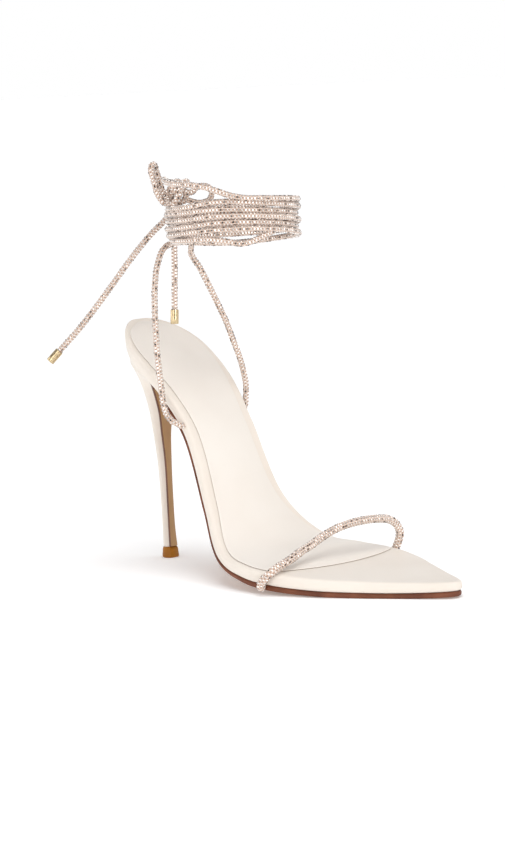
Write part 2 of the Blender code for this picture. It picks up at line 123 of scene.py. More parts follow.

# Stones: their places, cut, tipping, and how much of a facet's painted light is its stone's own
STONE_PITCH = 1.6
STONE_RADIUS = 0.56
TABLE_RADIUS = 0.34
STONE_RISE = 0.20
STONE_BACK = 0.30
STONE_LIFT = 0.02
STONE_TIP = 0.09
STONE_SIDES = 6
STONE_POINTS = 2 * STONE_SIDES + 1
BARE_END = 0.9
PAINTED_GLINT_OF_STONE = 0.7
SEEDS = {
    "toe_strap_cord": 11,
    "ankle_tie_cord": 12,
    "bow_knot": 21,
    "bow_loop_up": 22,
    "bow_loop_side": 23,
    "bow_end_long": 24,
    "bow_end_short": 25,
}

# The wrap round the ankle: a tilted coil
WRAP_RADIUS = 30.4
WRAP_CENTRE = (66.4, 6.5)
WRAP_MIDDLE = 165.95
WRAP_PITCH = 3.3
WRAP_TURNS = 5.7
WRAP_TILT = (0.083, -0.075)
WRAP_START_DEG = 210.0
POINTS_PER_TURN = 24

# How its turns draw together, lie out and in, sway, hang slack, lean and pass; places are counted in turns
WRAP_PINCH = 0.55
WRAP_PINCH_DEG = 341.0
WRAP_SETTLE = 0.6
WRAP_LOOSE = 0.75
WRAP_LOOSE_PHASE = 0.6
WRAP_SWAY = 0.3
WRAP_SWAY_RATE = 2.1
SLACK = 1.2
SLACK_AT = 0.2
SLACK_REACH = 0.1
LOWER_LEAN = 0.45
LEAN_START = (0.6, 1.1)
LEAN_FULL = (3.95, 4.4)
LEAN_END = (WRAP_TURNS - 0.6, WRAP_TURNS - 0.3)
PASSING_OUT = 1.2
PASSING = (WRAP_TURNS - 0.4, WRAP_TURNS - 0.15)
PASSED_IN = 0.9
PASSED_AT = WRAP_TURNS - 1.02
PASSED_REACH = 0.12

# The bow's knot, the turn round it, and the tips of its ends
KNOT_CENTRE = (31.6, 3.3, 179.2)
KNOT_SIZE = 1.95
KNOT_DEPTH = 2.6
KNOT_POINTS = 150
KNOT_WRAP = (4.3, 5.9)
KNOT_WRAP_OFFSET = (0, -2.9, -1.2)
KNOT_WRAP_SLANT = (0, 0.42, 0.91)
KNOT_WRAP_POINTS = 60
FERRULE_LENGTH = 6.9
FERRULE_RADIUS = 2.0
FERRULE_GAP = 0.3
FERRULE_SIDES = 40
RUN_INTO_TIP = 1.5


def table(columns, rows):
    """A short table as one array for each named column."""
    return dict(zip(columns, np.array(rows, float).T))


# The top of the sock and the sole's half widths either side of its centre line, heel to toe
LAST = table(
    ("x", "top", "lateral", "medial"),
    [
        (0, 119.5, 0, 0),
        (3, 117.8, 9.3, 10.2),
        (10, 113.8, 16.6, 18.0),
        (20, 107.6, 21.6, 22.9),
        (32, 99.4, 23.0, 24.0),
        (46, 87.6, 22.2, 23.0),
        (61, 67.8, 21.0, 20.6),
        (79, 35.2, 27.0, 20.8),
        (97, 17.5, 37.6, 28.6),
        (114, 13.4, 42.0, 37.0),
        (131, 11.7, 41.4, 40.0),
        (149, 10.1, 35.3, 35.6),
        (166, 9.3, 26.2, 26.6),
        (182, 8.9, 16.4, 17.4),
        (195, 9.0, 8.4, 9.4),
        (201, 9.2, 3.9, 4.5),
        (203, 9.3, 0, 0),
    ],
)

# Undersides of the wrapped board and of the outsole, as depths under the top of the sock
DEPTHS = table(
    ("x", "board", "sole"),
    [
        (0, 7.5, 9.1),
        (30, 7.1, 8.7),
        (57, 5.7, 7.5),
        (91, 5.8, 7.6),
        (126, 7.2, 9.9),
        (150, 7.0, 9.7),
        (182, 6.4, 9.1),
        (203, 5.7, 8.4),
    ],
)

# How far the sock lies in from the sole's outline
SOCK_INSETS = table(
    ("x", "inset"),
    [(0, 3.2), (20, 3.4), (35, 4.0), (48, 5.0), (61, 5.4), (80, 5.0), (105, 3.6), (125, 3.0), (140, 3.0)],
)

# Edge profiles, top to bottom: how far in from the outline, and how far down through the layer
BOARD_EDGE = table(
    ("inset", "down"),
    [(2.0, 0), (1.1, 0.05), (0.3, 0.2), (0, 0.52), (0.3, 0.88), (1.2, 1)],
)
SOCK_EDGE = table(
    ("inset", "down"),
    [(1.2, 0), (0.6, 0.06), (0.2, 0.28), (0, 0.6), (0.2, 0.88), (0.7, 1)],
)
OUTSOLE_EDGE = table(
    ("inset", "down"),
    [(1.3, 0), (0.85, 0.12), (0.55, 0.3), (0.5, 0.6), (0.75, 0.86), (1.5, 1)],
)

# Soft pulls of the satin where it is drawn under the board: place, half length, depth
SATIN_PULLS = {
    "lateral": [
        (44, 2.2, 0.16), (51, 3.0, 0.22), (59, 2.6, 0.14),
        (70, 4.0, 0.18), (168, 4.5, 0.10), (189, 2.4, 0.12),
    ],
    "medial": [
        (40, 2.6, 0.14), (48, 3.0, 0.20), (57, 2.4, 0.16),
        (67, 3.6, 0.14), (160, 5.0, 0.10), (186, 2.6, 0.12),
    ],
}

# Sections of the heel: height at its back, slope towards the toe, then plan sizes
HEEL = table(
    ("z", "lean", "back", "breast", "width", "face"),
    [
        (5.6, 0, 14.9, 19.8, 6.6, 4.2),
        (12, 0, 14.6, 19.3, 6.0, 3.6),
        (28, 0, 14.2, 18.8, 6.0, 3.2),
        (48, 0, 12.9, 18.5, 6.8, 3.6),
        (62, 0, 11.3, 18.0, 8.8, 5.6),
        (72, -0.02, 9.8, 18.2, 11.0, 8.0),
        (80, -0.10, 8.2, 17.4, 13.6, 10.4),
        (87, -0.24, 6.6, 18.2, 17.5, 15.0),
        (94, -0.42, 5.0, 20.5, 23.5, 21.0),
        (100.5, -0.57, 4.1, 25.0, 31.0, 29.0),
    ],
)
HEEL_SEAT = {"back": 3.8, "breast": 32.0, "width": 40.5, "face": 40.0}

# Half the breast cover's profile, from the middle of its back: shares of half its width and of its thickness
BREAST_PROFILE = table(
    ("across", "out"),
    [(0, 0), (1, 0), (1, 0.7), (0.99, 0.88), (0.95, 0.98), (0.86, 1.0), (0.5, 1.04), (0, 1.06)],
)
# Strips of the whole profile that are painted
PAINTED_STRIPS = (1, 2, 3, 10, 11, 12)

# Sections of the lift, and the stretches of its height with their number of rings
LIFT = table(
    ("z", "back", "breast", "width", "face"),
    [
        (0, 14.3, 20.7, 7.0, 4.5),
        (0.25, 13.9, 21.1, 7.6, 4.9),
        (0.7, 13.8, 21.2, 7.8, 5.0),
        (2.8, 14.0, 21.0, 7.5, 4.9),
        (4.7, 14.3, 20.7, 7.2, 4.8),
        (5.1, 14.5, 20.5, 6.8, 4.5),
        (5.5, 15.2, 19.9, 5.6, 3.6),
    ],
)
LIFT_STRETCHES = ((0, 0.7, 7), (0.7, 4.7, 12), (4.7, 5.5, 7))

# Routes of the cords, listed point by point; their ends run on into what holds them
TOE_STRAP_ROUTE = [
    (126.4, -35.6, 2.8),
    (127.4, -38.0, 4.4),
    (129.0, -38.6, 6.6),
    (131.2, -37.9, 8.9),
    (132.8, -36.4, 11.0),
    (133.2, -33.8, 12.3),
    (133.0, -30.3, 13.4),
    (131.9, -22.9, 15.2),
    (130.3, -15.3, 17.4),
    (128.9, -7.3, 19.2),
    (128.1, -0.9, 21.3),
    (128.0, 11.5, 24.6),
    (128.4, 24.0, 25.7),
    (128.6, 36.0, 25.1),
    (128.2, 42.4, 23.9),
    (128.7, 47.0, 20.9),
    (129.0, 49.0, 16.8),
    (128.4, 48.8, 13.4),
    (127.0, 48.1, 9.6),
    (126.0, 47.0, 5.6),
    (125.4, 44.8, 3.4),
]
LATERAL_RISER = [
    (57.0, -19.4, 69.6),
    (55.9, -21.7, 70.4),
    (55.2, -23.0, 71.2),
    (54.0, -24.6, 72.3),
    (52.4, -25.8, 74.2),
    (50.9, -26.4, 77.0),
    (49.7, -26.6, 81.4),
    (48.6, -26.5, 88.0),
    (47.2, -26.4, 97.0),
    (45.8, -26.0, 106.0),
    (44.6, -25.2, 116.0),
    (43.2, -24.0, 126.0),
    (41.9, -22.3, 136.0),
    (41.0, -19.6, 145.0),
    (40.7, -16.0, 151.8),
]
MEDIAL_RISER = [
    (50.2, 22.6, 72.2),
    (49.9, 24.3, 74.2),
    (49.9, 24.8, 78.0),
    (50.0, 25.2, 84.0),
    (49.6, 24.5, 90.0),
    (48.3, 23.6, 97.0),
    (46.3, 21.0, 107.0),
    (45.2, 18.2, 115.7),
    (44.0, 15.0, 123.4),
    (42.4, 11.4, 132.2),
    (39.7, 7.9, 141.8),
    (36.9, 4.9, 149.4),
]
# How the wound turns lean: angle round the ankle, rise of the upper turns
WRAP_LEAN = table(
    ("angle", "rise"),
    [
        (48, 0), (138, -0.9), (200, -1.7), (228, -1.85), (252, -1.9), (277, -1.6),
        (297, 0.45), (312, 1.2), (330, 1.2), (352, 0.9), (380, 0.3), (408, 0),
    ],
)
# The medial cord's loose half turn: angle round the ankle, offset from the other turns, height
LOOSE_TURN = table(
    ("angle", "outset", "z"),
    [
        (186, -2.9, 153.6),
        (206, -2.6, 155.5),
        (228, -1.9, 156.8),
        (262, -0.4, 157.7),
        (288, 0.0, 158.4),
        (298, 0.0, 158.6),
        (312, 0.0, 157.6),
        (327, 0.0, 156.3),
        (335, 0.0, 157.0),
        (347, 0.0, 159.4),
        (360, 0.0, 161.6),
    ],
)
# The lateral cord's last stretch, from its top turn up to the knot
TOP_LEAD = table(
    ("angle", "outset", "z"),
    [
        (318, 1.2, 178.6),
        (308, 1.2, 180.6),
        (298, 1.0, 182.4),
        (281, 0.8, 183.8),
        (262, 0.8, 184.2),
        (240, 0.6, 184.8),
        (222, 1.0, 185.4),
        (208, 3.0, 184.8),
        (197, 4.4, 183.0),
    ],
)
LOOP_UP_ROUTE = [
    (30.6, -0.4, 173.0),
    (28.5, -3.4, 173.4),
    (27.5, -4.6, 175.2),
    (26.1, -5.6, 178.4),
    (24.6, -5.6, 182.6),
    (23.7, -6.1, 186.2),
    (23.1, -6.3, 189.0),
    (22.8, -5.6, 191.0),
    (22.0, -3.8, 191.8),
    (21.2, -2.0, 191.0),
    (20.9, -1.3, 189.0),
    (21.9, -1.1, 186.4),
    (23.3, -1.2, 183.2),
    (24.8, -1.3, 179.6),
    (26.2, -0.9, 176.7),
    (29.0, 0.6, 174.6),
]
LOOP_SIDE_ROUTE = [
    (32.8, 4.8, 178.3),
    (35.2, 8.9, 178.1),
    (36.2, 10.6, 179.9),
    (38.2, 13.0, 180.8),
    (40.2, 15.1, 179.9),
    (41.3, 15.8, 177.3),
    (40.7, 14.8, 174.2),
    (38.7, 12.4, 172.9),
    (36.8, 10.6, 172.8),
    (35.1, 8.8, 173.4),
    (32.4, 4.6, 175.8),
]
LONG_END_ROUTE = [
    (32.0, 1.8, 173.4),
    (31.4, 0.2, 171.0),
    (29.5, -0.9, 168.0),
    (26.6, -3.0, 164.2),
    (23.2, -6.8, 159.6),
    (19.4, -11.3, 153.3),
    (15.4, -16.0, 146.0),
    (11.8, -20.3, 138.8),
    (7.5, -25.5, 130.2),
    (3.1, -30.7, 121.8),
    (-0.9, -35.4, 114.6),
    (-7.3, -42.7, 104.5),
]
SHORT_END_ROUTE = [
    (30.6, 4.4, 173.6),
    (29.9, 4.2, 170.6),
    (28.7, 3.6, 163.0),
    (27.9, 2.7, 155.1),
    (28.0, 1.8, 140.7),
    (28.2, 1.0, 130.0),
    (28.3, 0.5, 122.3),
]

# A cord tip's turned profile, from its recess round to its dimpled end: run along it, share of its radius
FERRULE = table(
    ("run", "radius"),
    [
        (1.6, 0),
        (1.6, 0.80),
        (0.05, 0.82),
        (0, 0.88),
        (0.03, 0.95),
        (0.16, 1),
        (FERRULE_LENGTH / 3, 1),
        (FERRULE_LENGTH * 2 / 3, 1),
        (FERRULE_LENGTH - 0.2, 1),
        (FERRULE_LENGTH - 0.05, 0.96),
        (FERRULE_LENGTH, 0.88),
        (FERRULE_LENGTH, 0.6),
        (FERRULE_LENGTH - 0.18, 0.5),
        (FERRULE_LENGTH - 0.25, 0),
    ],
)

# The camera's place, found from the photograph: it looks at the target from this side and height
PHOTO_SIZE = (505, 864)
AZIMUTH_DEG = 48.310
ELEVATION_DEG = 8.228
ROLL_DEG = -2.138
FOCAL_PX = 2788.37
DISTANCE = 1297.46
TARGET = (100.0, 0.0, 60.0)
PRINCIPAL_PX = (278.246, 449.299)
SENSOR = 24.0

# The studio, in metres: shades of its walls from the horizon up, then its dark gap's direction, the cosines
# of that gap's soft edge and its brightness, the floor, and the lights
WALLS = ((0.05, (1, 1, 1, 1)), (0.16, (0.72, 0.72, 0.72, 1)), (0.62, (0.40, 0.40, 0.41, 1)))
DARK_GAP = (0.735, -0.662, 0.15)
DARK_GAP_EDGE = (0.90, 0.96)
DARK_GAP_LEVEL = 0.04
FLOOR_REACH = 12.0
KEY_FROM = (0.28, 0.0, 1.0)
KEY_STRENGTH = 1.5
KEY_SPREAD_DEG = 60.0
FILLS_AIM = (0, 0, 0.08)
# Each fill light's name, place, size and power
FILLS = (
    ("back_fill", (-0.75, -0.65, 0.3), 0.7, 1.2),
    ("side_fill", (0.35, -1.2, 0.25), 0.7, 2.3),
    ("toe_fill", (1.2, -0.35, 0.35), 0.8, 3.9),
)


def in_frame(points):
    """Millimetres in the last's frame as metres in the part's."""
    return (np.asarray(points, float) - PART_ORIGIN) * MM


def unit(vectors):
    """Vectors divided by their lengths."""
    return vectors / np.linalg.norm(vectors, axis=-1, keepdims=True)


def through(xs, ys, x):
    """A smooth cubic through (xs, ys), each knot's slope taken from its two neighbours."""
    slopes = np.gradient(ys, xs)
    i = np.clip(np.searchsorted(xs, x, side="right") - 1, 0, len(xs) - 2)
    h = xs[i + 1] - xs[i]
    t = np.clip((x - xs[i]) / h, 0, 1)
    start = (1 + 2 * t) * (1 - t) ** 2 * ys[i] + t * (1 - t) ** 2 * h * slopes[i]
    end = t**2 * (3 - 2 * t) * ys[i + 1] + t**2 * (t - 1) * h * slopes[i + 1]
    return start + end


def smooth_step(x, low, high):
    """A cubic that rises from 0 at low to 1 at high, level at both."""
    t = np.clip((x - low) / (high - low), 0, 1)
    return t * t * (3 - 2 * t)


def hump(x, middle, reach):
    """A bell curve, 1 in its middle."""
    return np.exp(-(((x - middle) / reach) ** 2))


def full_turn(count):
    """Angles once round, in equal steps."""
    return 2 * math.pi * np.arange(count) / count


def ring(points):
    """Points with the first one again at the end."""
    return np.concatenate([points, points[:1]])


def run_of(points):
    """Length along a line of points, from its first point."""
    return np.r_[0, np.cumsum(np.linalg.norm(np.diff(points, axis=0), axis=1))]


def smooth_run(route, spacing):
    """Evenly spaced points on a smooth cubic through a route's own points."""
    route = np.asarray(route, float)
    chord = run_of(route)
    fine = np.linspace(0, chord[-1], 30 * len(route))
    curve = np.stack([through(chord, column, fine) for column in route.T], axis=1)
    run = run_of(curve)
    even = np.linspace(0, run[-1], max(8, round(run[-1] / spacing) + 1))
    return np.stack([np.interp(even, run, column) for column in curve.T], axis=1)


def grid(rows, columns, round_rows=False, round_columns=False):
    """Quads of a grid of points held row after row, and the row and column of each corner, which run on
    past the last one where the grid closes on itself."""
    down, across = np.arange(rows - 1 + round_rows), np.arange(columns - 1 + round_columns)
    i, j = np.meshgrid(down, across, indexing="ij")
    row = np.stack([i, i + 1, i + 1, i], -1).reshape(-1, 4)
    column = np.stack([j, j, j + 1, j + 1], -1).reshape(-1, 4)
    return (row % rows) * columns + column % columns, row, column


def add_piece(name, points, faces, finishes, corner_uv, node, slot, sharp_deg=None, **of_face):
    """A mesh piece from points in millimetres: doubles merged, faces turned outwards, riding on the body in
    place of its node; its slot is not used. of_face may hold finish, smooth and glint, one for each face."""
    mesh = bpy.data.meshes.new(name)
    mesh.from_pydata(in_frame(points).tolist(), [], faces)
    mesh.uv_layers.new(name="run").data.foreach_set("uv", np.ravel(corner_uv))
    for made in finishes:
        mesh.materials.append(made)
    if "finish" in of_face:
        mesh.polygons.foreach_set("material_index", of_face["finish"].astype(np.int32))
    mesh.polygons.foreach_set("use_smooth", of_face.get("smooth", np.ones(len(faces), bool)))
    if "glint" in of_face:
        mesh.attributes.new("glint", "FLOAT", "FACE").data.foreach_set("value", of_face["glint"])
    work = bmesh.new()
    work.from_mesh(mesh)
    bmesh.ops.remove_doubles(work, verts=work.verts, dist=MERGE)
    bmesh.ops.recalc_face_normals(work, faces=work.faces)
    work.to_mesh(mesh)
    work.free()
    if sharp_deg:
        mesh.set_sharp_from_angle(angle=math.radians(sharp_deg))
    piece = bpy.data.objects.new(name, mesh)
    bpy.context.scene.collection.objects.link(piece)
    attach(piece, BODY)
    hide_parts(node)
    return piece


# Finishes


class Wiring:
    """A node tree, with short ways to add nodes and join them."""

    def __init__(self, tree):
        self.tree = tree

    def feed(self, socket, value):
        """Joins another node's output to a socket, or sets the socket to a plain value."""
        if isinstance(value, bpy.types.NodeSocket):
            self.tree.links.new(value, socket)
        else:
            socket.default_value = value

    def node(self, kind, sockets, **settings):
        """A new node of a kind, with its settings made and its sockets fed."""
        made = self.tree.nodes.new("ShaderNode" + kind)
        for name, value in settings.items():
            setattr(made, name, value)
        for socket, value in sockets.items():
            self.feed(made.inputs[socket], value)
        return made


class Finish(Wiring):
    """A material being wired up round its Principled shader."""

    def __init__(self, name, colour, roughness, metallic=0.0, **sockets):
        self.material = bpy.data.materials.new(name)
        self.material.use_nodes = True
        super().__init__(self.material.node_tree)
        self.shader = self.tree.nodes["Principled BSDF"]
        self.put(Base_Color=(*colour, 1), Roughness=roughness, Metallic=metallic, **sockets)

    def put(self, **sockets):
        """Feeds the shader's sockets, with _ for each space in their names."""
        for socket, value in sockets.items():
            self.feed(self.shader.inputs[socket.replace("_", " ")], value)

    def math(self, operation, *values):
        """The result of an operation on one or two values."""
        return self.node("Math", dict(enumerate(values)), operation=operation).outputs[0]

    def place(self, kind, scale=(1, 1, 1)):
        """Object or UV coordinates, stretched."""
        source = self.node("TexCoord", {}).outputs[kind]
        return self.node("Mapping", {"Vector": source, "Scale": scale}).outputs["Vector"]

    def noise(self, place, scale, detail):
        """Soft noise over a place."""
        return self.node("TexNoise", {"Vector": place, "Scale": scale, "Detail": detail}).outputs["Fac"]

    def between(self, factor, low, high, low_at, high_at):
        """A colour that runs from low to high as the factor goes from low_at to high_at."""
        ramp = self.node("ValToRGB", {"Fac": factor})
        first, last = ramp.color_ramp.elements
        first.position, first.color = low_at, (*low, 1)
        last.position, last.color = high_at, (*high, 1)
        return ramp.outputs["Color"]

    def range_of(self, factor, low, high):
        """A value that runs from low to high as the factor goes from 0 to 1."""
        return self.node("MapRange", {"Value": factor, "To Min": low, "To Max": high}).outputs["Result"]

    def bump(self, height, distance, strength, **under):
        """Raises the shader's surface by a height, over the Normal that under may hold."""
        sockets = {"Height": height, "Distance": distance, "Strength": strength, **under}
        raised = self.node("Bump", sockets).outputs["Normal"]
        self.put(Normal=raised)
        return raised


def satin(name, colour, shade):
    """Duchess satin: long floats in one direction, a fine cross weave, soft unevenness and a low sheen."""
    made = Finish(
        name, colour, 0.42, Sheen_Weight=0.22, Sheen_Roughness=0.45, Specular_IOR_Level=0.42, Coat_Weight=0.06
    )
    body = made.place("Object")
    floats = made.noise(made.place("UV", (0.35, 5.0, 1)), 1.0, 2.0)
    weave = made.node(
        "TexWave", {"Vector": made.place("UV"), "Scale": 1.6, "Distortion": 0.6},
        wave_type="BANDS", bands_direction="DIAGONAL",
    )
    made.put(
        Base_Color=made.between(made.noise(body, 24.0, 4.0), shade, colour, 0.3, 0.62),
        Roughness=made.range_of(floats, 0.34, 0.5),
    )
    rolling = made.bump(made.noise(body, 55.0, 2.0), 0.0006, 0.35)
    threads = made.bump(weave.outputs["Fac"], 0.00004, 0.5, Normal=rolling)
    made.bump(floats, 0.00005, 0.6, Normal=threads)
    return made.material


def leather(name, colour, dark, roughness, grain_scale, grain_depth, streak=(1, 1, 1), **sockets):
    """Leather: a pebbled grain from cells, blotches of dye, and a gloss that the grain breaks up."""
    made = Finish(name, colour, roughness, **sockets)
    body = made.place("Object", streak)
    cells = made.node("TexVoronoi", {"Vector": body, "Scale": grain_scale}, feature="SMOOTH_F1")
    dye = made.noise(body, 90.0, 5.0)
    made.put(
        Base_Color=made.between(dye, dark, colour, 0.3, 0.66),
        Roughness=made.range_of(dye, roughness - 0.08, roughness + 0.1),
    )
    pebbles = made.bump(cells.outputs["Distance"], grain_depth, 0.6)
    made.bump(made.noise(body, 900.0, 3.0), grain_depth, 0.4, Normal=pebbles)
    return made.material


def net_cloth(name):
    """The cord's net: threads raised between the stones, where a cell's edges cross the run and the turn,
    with painted shade, dark and warm, in the low spots between them.
    """
    made = Finish(name, (0.86, 0.75, 0.69), 0.5, Sheen_Weight=0.3, Sheen_Roughness=0.4)
    split = made.node("SeparateXYZ", {"Vector": made.place("UV")})
    waves = []
    for direction in ("X", "Y"):
        wave = made.math("SINE", made.math("MULTIPLY", split.outputs[direction], math.pi))
        waves.append(made.math("ABSOLUTE", wave))
    threads = made.math("POWER", made.math("MAXIMUM", *waves), 5.0)
    # The lighter threads are the net's pattern; the dark, warm low spots between them are painted shade
    made.put(Base_Color=made.between(threads, (0.50, 0.325, 0.235), (0.85, 0.70, 0.60), 0.1, 0.9))
    made.bump(threads, 0.0002, 0.8)
    return made.material


def cut_stone(name):
    """Foiled glass stones: each facet has its own share of painted light in its colour, from smoke-dark to
    clear silver, a painted reflection of dark and bright surroundings.
    """
    made = Finish(name, (0.9, 0.88, 0.86), 0.12, 0.75, Coat_Weight=0.6, Coat_Roughness=0.03)
    glint = made.node("Attribute", {}, attribute_name="glint").outputs["Fac"]
    # Painted reflection: the colour runs from near black to bright silver by each facet's drawn share of
    # light, standing in for what the stones reflect
    made.put(Base_Color=made.between(glint, (0.05, 0.042, 0.038), (0.92, 0.865, 0.82), 0.19, 0.38))
    return made.material


def gold_metal(name):
    """Plated brass: drawn streaks along the tube, dark ones painted into its colour as painted reflection,
    and faint handling marks.
    """
    made = Finish(name, (0.78, 0.61, 0.36), 0.1, 1.0, Coat_Weight=0.1, Coat_Roughness=0.04)
    drawn = made.noise(made.place("UV", (0.3, 9.0, 1)), 2.0, 3.0)
    # Painted reflection: along some streaks the colour goes near black, standing in for dark surroundings
    # mirrored in the polished tube
    made.put(
        Base_Color=made.between(drawn, (0.16, 0.10, 0.04), (0.84, 0.67, 0.41), 0.34, 0.56),
        Roughness=made.range_of(drawn, 0.05, 0.15),
    )
    made.bump(drawn, 0.00003, 0.4)
    return made.material


SATIN = satin("ivory_satin", (0.87, 0.795, 0.71), (0.83, 0.745, 0.655))
SOCK_SATIN = satin("sock_ivory_satin", (0.88, 0.82, 0.75), (0.85, 0.78, 0.705))
# Dark brown for the sock's lower edge: partly its cut edge, partly painted shade where the sock meets the
# board
SOCK_CUT_EDGE_AND_SHADE = leather("sock_cut_edge_and_painted_shade", (0.30, 0.20, 0.135), (0.24, 0.155, 0.10), 0.6, 700.0, 0.00004)
EDGE_LEATHER = leather(
    "polished_edge_leather", (0.215, 0.073, 0.036), (0.12, 0.036, 0.018), 0.5, 700.0, 0.00005,
    Coat_Weight=0.05, Coat_Roughness=0.25, Specular_IOR_Level=0.22,
)
SOLE_LEATHER = leather("sole_leather", (0.46, 0.27, 0.16), (0.38, 0.205, 0.115), 0.52, 520.0, 0.00008)
BREAST_LEATHER = leather(
    "breast_leather", (0.52, 0.325, 0.155), (0.42, 0.245, 0.11), 0.46, 600.0, 0.00006, streak=(1, 1, 0.25)
)
BREAST_PAINT = leather("breast_edge_paint", (0.17, 0.065, 0.032), (0.10, 0.035, 0.02), 0.4, 700.0, 0.00005)
LIFT_PLASTIC = leather(
    "lift_plastic", (0.42, 0.17, 0.012), (0.32, 0.115, 0.008), 0.46, 1100.0, 0.00003, Specular_IOR_Level=0.25
)
NET = net_cloth("blush_net")
STONES = cut_stone("foiled_stones")
GOLD = gold_metal("gold_metal")


# The sole


def centre_line(x):
    """The sole's centre line, swung to the medial side towards the toe by a power of the way along."""
    return TOE_SWING * np.clip((x / LENGTH - SWING_START) / (1 - SWING_START), 0, 1) ** SWING_POWER


def half_width(x, side):
    """Half the sole's width; its square is interpolated, so that heel and toe close in round ends."""
    return np.sqrt(np.maximum(through(LAST["x"], LAST[side] ** 2, x), 0))


def top_line(x):
    """Height of the sock's top along the sole."""
    return through(LAST["x"], LAST["top"], x)


def depth_of(layer, x):
    """Depth of a layer's underside along the sole."""
    return through(DEPTHS["x"], DEPTHS[layer], x)


def on_sole(x, y, depth):
    """The point at a depth under the sock's top, square to the profile except at the back of the seat, which
    is dished as a parabola across."""
    follow = BACK_SLOPE + (1 - BACK_SLOPE) * smooth_step(x, 0, BACK_END)
    slope = (top_line(x + SLOPE_REACH) - top_line(x - SLOPE_REACH)) / (2 * SLOPE_REACH) * follow
    length = np.hypot(1, slope)
    across = np.minimum(half_width(x, "lateral"), half_width(x, "medial")) + SPARE_WIDTH
    hollow = np.clip(1 - ((y - centre_line(x)) / across) ** 2, 0, 1)
    fade = (1 - smooth_step(x, DISH_START, DISH_END)) * np.clip(1 - depth / DISH_DEPTH, 0, 1)
    z = top_line(x) - depth / length - SEAT_DISH * hollow * fade
    return np.stack([x + slope / length * depth, y, np.maximum(z, 0)], -1)


def round_stations(start, end, count):
    """Places from start to end, crowded towards both by a cosine, so that round ends stay round."""
    return start + (end - start) * (1 - np.cos(np.linspace(0, math.pi, count))) / 2


class Outline:
    """A closed plan outline: the lateral side from back to toe, then the medial side back again."""

    def __init__(self, stations, lateral, medial, cut_back=False):
        last = len(stations) - 1
        back = np.arange(last - 1, -1 if cut_back else 0, -1)
        station = np.r_[np.arange(last + 1), back]
        self.lateral = np.arange(len(station)) <= last
        self.x = stations[station]
        self.y = centre_line(self.x) + np.where(self.lateral, -lateral[station], medial[station])
        along = unit(np.stack([np.roll(v, -1) - np.roll(v, 1) for v in (self.x, self.y)], axis=1))
        self.inward = np.stack([-along[:, 1], along[:, 0]], axis=1)
        self.ends = stations[0], stations[-1]

    def rim(self, inset):
        """The outline moved in, square to itself."""
        return self.x + self.inward[:, 0] * inset, self.y + self.inward[:, 1] * inset

    def towards_middle(self, inset, share, margin):
        """The rim at an inset, moved a share of the way to the centre line, which stops a margin short of
        both ends."""
        x, y = self.rim(inset)
        middle = np.clip(self.x, self.ends[0] + margin, self.ends[1] - margin)
        return x + (middle - x) * share, y + (centre_line(middle) - y) * share


def fine_edge(edge, count):
    """An edge profile's insets and depths, smoothed into more rows."""
    step = np.arange(len(edge["inset"]), dtype=float)
    fine = np.linspace(0, step[-1], count)
    return through(step, edge["inset"], fine), np.clip(through(step, edge["down"], fine), 0, 1)


def sole_layer(outline, edge, top, bottom, margin, crown=0.0, pull=0.0):
    """One layer as a closed grid. Its rows start in the middle of the top, run out to the rim, over the edge
    and back to the middle of the underside; its columns go round the outline. The top stands proud by the
    crown in its middle, and the edge is drawn in by the pull. Gives the row of each face as well."""
    insets, downs = fine_edge(edge, EDGE_ROWS)
    inner = 1 - np.linspace(0, 1, TOP_ROWS, endpoint=False) ** TOP_ROW_POWER
    rows = []
    for share in inner:
        x, y = outline.towards_middle(insets[0], share, margin)
        rows.append(on_sole(x, y, top(x) - crown * (1 - (1 - share) ** 2)))
    for inset, down in zip(insets, downs):
        x, y = outline.rim(inset + pull * math.sin(math.pi * min(1.0, PULL_START + down)))
        rows.append(on_sole(x, y, top(x) + down * (bottom(x) - top(x))))
    for share in inner[::-1]:
        x, y = outline.towards_middle(insets[-1], share, margin)
        rows.append(on_sole(x, y, bottom(x)))
    points = np.array(rows)
    faces, row, column = grid(len(rows), len(outline.x), round_columns=True)
    across = np.r_[0, np.cumsum(np.linalg.norm(np.diff(points, axis=0), axis=2).mean(axis=1))]
    around = run_of(ring(np.stack([outline.x, outline.y], axis=1)))
    corner_uv = np.stack([around[column], across[row]], -1)
    return points.reshape(-1, 3), faces.tolist(), corner_uv, row[:, 0]


def flat(depth):
    """A depth that is the same all along the sole."""
    return lambda x: np.full_like(x, depth)


def under(layer, lower=0.0):
    """The depth of a layer's underside, or a little lower."""
    return lambda x: depth_of(layer, x) + lower


def satin_pull(outline):
    """How far the satin is drawn in round the rim: a soft trough at each listed pull."""
    drawn = np.zeros(len(outline.x))
    for side, pulls in SATIN_PULLS.items():
        here = outline.lateral if side == "lateral" else ~outline.lateral
        for place, reach, depth in pulls:
            drawn += here * depth * hump(outline.x, place, reach)
    return drawn


BOARD_STATIONS = round_stations(0, LENGTH, BOARD_POINTS)
BOARD_OUTLINE = Outline(BOARD_STATIONS, *(half_width(BOARD_STATIONS, side) for side in ("lateral", "medial")))


def make_board():
    """The wrapped board: a layer from under the sock to its own underside, its edge drawn in by the pulls."""
    points, faces, corner_uv, _ = sole_layer(
        BOARD_OUTLINE, BOARD_EDGE, flat(SOCK), under("board"), margin=6, pull=satin_pull(BOARD_OUTLINE)
    )
    add_piece("board_satin", points, faces, [SATIN], corner_uv, "wrapped_board", "satin")


